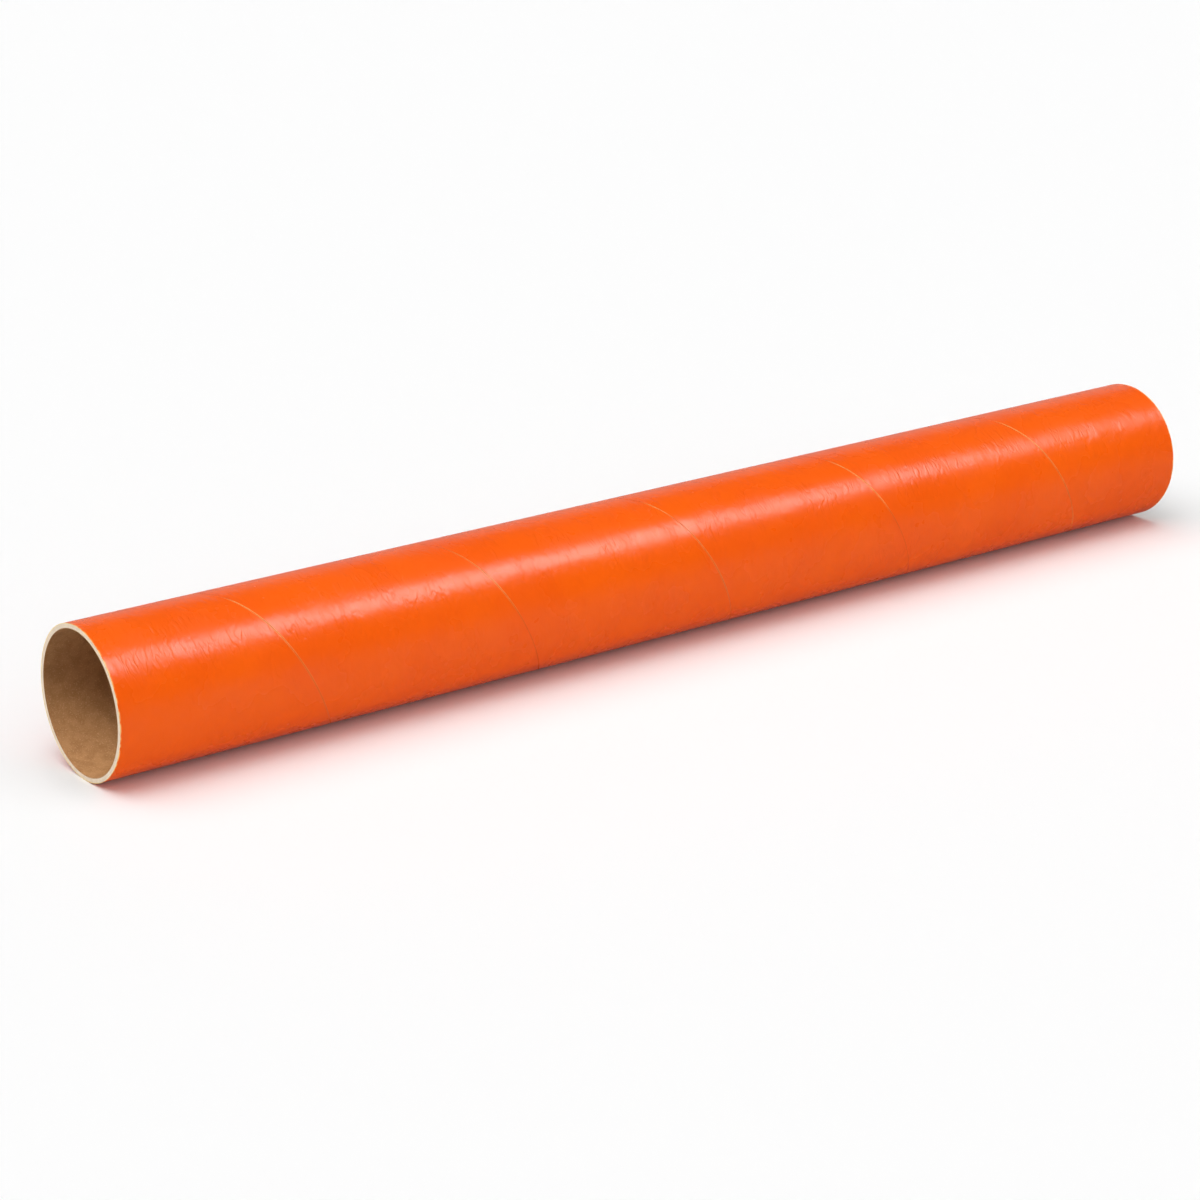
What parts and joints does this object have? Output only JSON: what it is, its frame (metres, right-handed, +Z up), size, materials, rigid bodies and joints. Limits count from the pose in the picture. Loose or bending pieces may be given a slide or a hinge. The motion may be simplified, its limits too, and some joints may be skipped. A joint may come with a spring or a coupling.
{
  "type": "cardboard tube",
  "caption": "Straight round cardboard tube with open, square-cut ends, wound in a spiral from paper plies under a bright paper wrap, for posting or storing rolled sheets.",
  "frame": {"origin": "on the floor, under the middle of the tube, which lies on its side", "axes": "+X along the tube, from the near end to the far end; +Z up"},
  "size_m": [0.6096, 0.068, 0.0681],
  "materials": {
    "wound_card": "smooth satin paper wrap outside, bare brown card inside, cream saw-cut ends"
  },
  "bodies": {
    "root": {"tube": "wound_card"}
  },
  "joints": []
}
